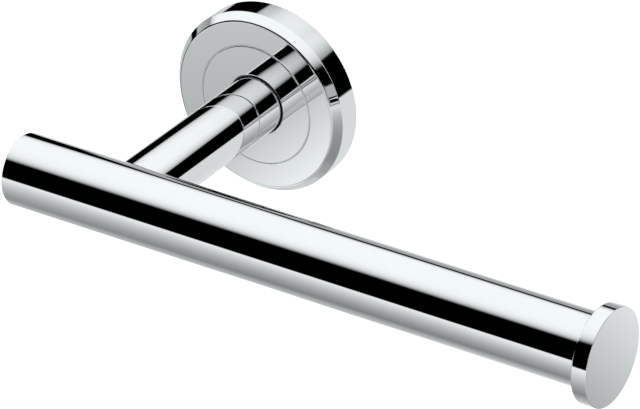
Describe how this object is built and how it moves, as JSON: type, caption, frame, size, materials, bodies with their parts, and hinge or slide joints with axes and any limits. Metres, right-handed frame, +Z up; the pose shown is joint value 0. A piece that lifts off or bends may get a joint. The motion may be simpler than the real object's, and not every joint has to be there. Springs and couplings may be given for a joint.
{
  "type": "toilet paper holder",
  "caption": "Wall-mounted toilet paper holder: round bevelled flange, straight post and an open horizontal arm that ends in a stop disc, fixed to a hidden bracket by a set screw.",
  "frame": {"origin": "centre of the bracket's wall face, on the post's axis", "axes": "+Y into the wall, +X along the arm to its free end, +Z up; the front faces -Y"},
  "size_m": [0.1726, 0.0809, 0.0508],
  "materials": {
    "polished_chrome": "polished chrome plate over brass",
    "cast_zinc": "as-cast zinc alloy, lightly tumbled",
    "plain_brass": "turned brass, unplated",
    "plated_steel": "zinc-plated steel",
    "black_steel": "blackened steel",
    "black_rubber": "black nitrile rubber, matt"
  },
  "bodies": {
    "bracket": {"wall_bracket": "cast_zinc"},
    "holder": {"wall_flange": "polished_chrome", "post_seal": "black_rubber", "post_tube": "polished_chrome", "post_saddle": "plain_brass", "tie_bolt": "plated_steel", "lock_washer": "plated_steel", "arm_tube": "polished_chrome", "arm_nut": "plain_brass", "arm_end_plug": "polished_chrome", "arm_end_insert": "plain_brass", "arm_end_cap": "polished_chrome"},
    "grip_screw": {"set_screw": "black_steel"}
  },
  "joints": [
    {"name": "holder_pull_off", "type": "slide", "parent": "bracket", "child": "holder", "axis": [0, -1, 0], "range_m": [0, 0.03]},
    {"name": "set_screw_travel", "type": "slide", "parent": "holder", "child": "grip_screw", "axis": [0, 0, -1], "range_m": [0, 0.0025]}
  ]
}
